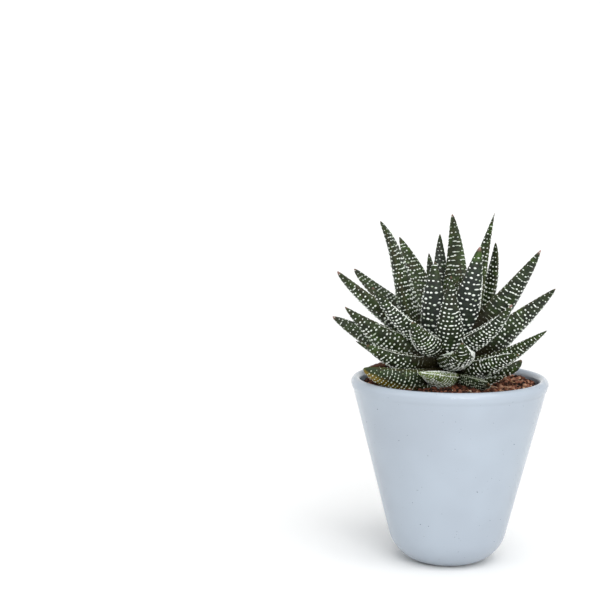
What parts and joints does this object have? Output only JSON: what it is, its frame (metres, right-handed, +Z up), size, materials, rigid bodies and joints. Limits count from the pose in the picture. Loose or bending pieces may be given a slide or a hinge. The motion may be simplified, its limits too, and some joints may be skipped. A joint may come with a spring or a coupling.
{
  "type": "potted haworthia",
  "caption": "Small rosette succulent with upright pointed dark green leaves covered in rows of white pearls, in a glazed tapered round pot filled with soil.",
  "frame": {"origin": "centre of the pot's flat foot, on the surface that the pot stands on", "axes": "+Z up along the pot's axis, -Y towards the side that the picture shows, +X to the picture's right, right-handed"},
  "size_m": [0.1329, 0.1254, 0.21],
  "materials": {
    "glazed_ceramic": "gloss",
    "potting_soil": "matte",
    "stem": "matte",
    "leaf": "satin",
    "pale_leaf": "satin",
    "old_leaf": "satin",
    "pearl": "satin",
    "dried_leaf": "matte"
  },
  "bodies": {
    "root": {"pot": "glazed_ceramic", "soil": "potting_soil", "stem": "stem", "leaf_heart_1": "leaf", "leaf_heart_2": "leaf", "leaf_heart_3": "leaf", "leaf_inner_1": "leaf", "leaf_inner_2": "leaf", "leaf_inner_3": "leaf", "leaf_inner_4": "leaf", "leaf_inner_5": "leaf", "leaf_inner_6": "leaf", "leaf_upper_1": "leaf", "leaf_upper_2": "leaf", "leaf_upper_3": "leaf", "leaf_upper_4": "leaf", "leaf_upper_5": "leaf", "leaf_upper_6": "leaf", "leaf_upper_7": "leaf", "leaf_upper_8": "leaf", "leaf_middle_1": "leaf", "leaf_middle_2": "leaf", "leaf_middle_3": "leaf", "leaf_middle_4": "leaf", "leaf_middle_5": "leaf", "leaf_middle_6": "leaf", "leaf_middle_7": "leaf", "leaf_middle_8": "leaf", "leaf_middle_9": "leaf", "leaf_middle_10": "leaf", "leaf_lower_1": "leaf", "leaf_lower_2": "leaf", "leaf_lower_3": "leaf", "leaf_lower_4": "leaf", "leaf_lower_5": "leaf", "leaf_lower_6": "leaf", "leaf_lower_7": "leaf", "leaf_lower_8": "leaf", "leaf_lower_9": "leaf", "leaf_bottom_1": "pale_leaf", "leaf_bottom_2": "old_leaf", "leaf_bottom_3": "leaf", "leaf_bottom_4": "leaf", "leaf_bottom_5": "leaf", "leaf_bottom_6": "leaf", "dried_leaf": "dried_leaf"}
  },
  "joints": []
}
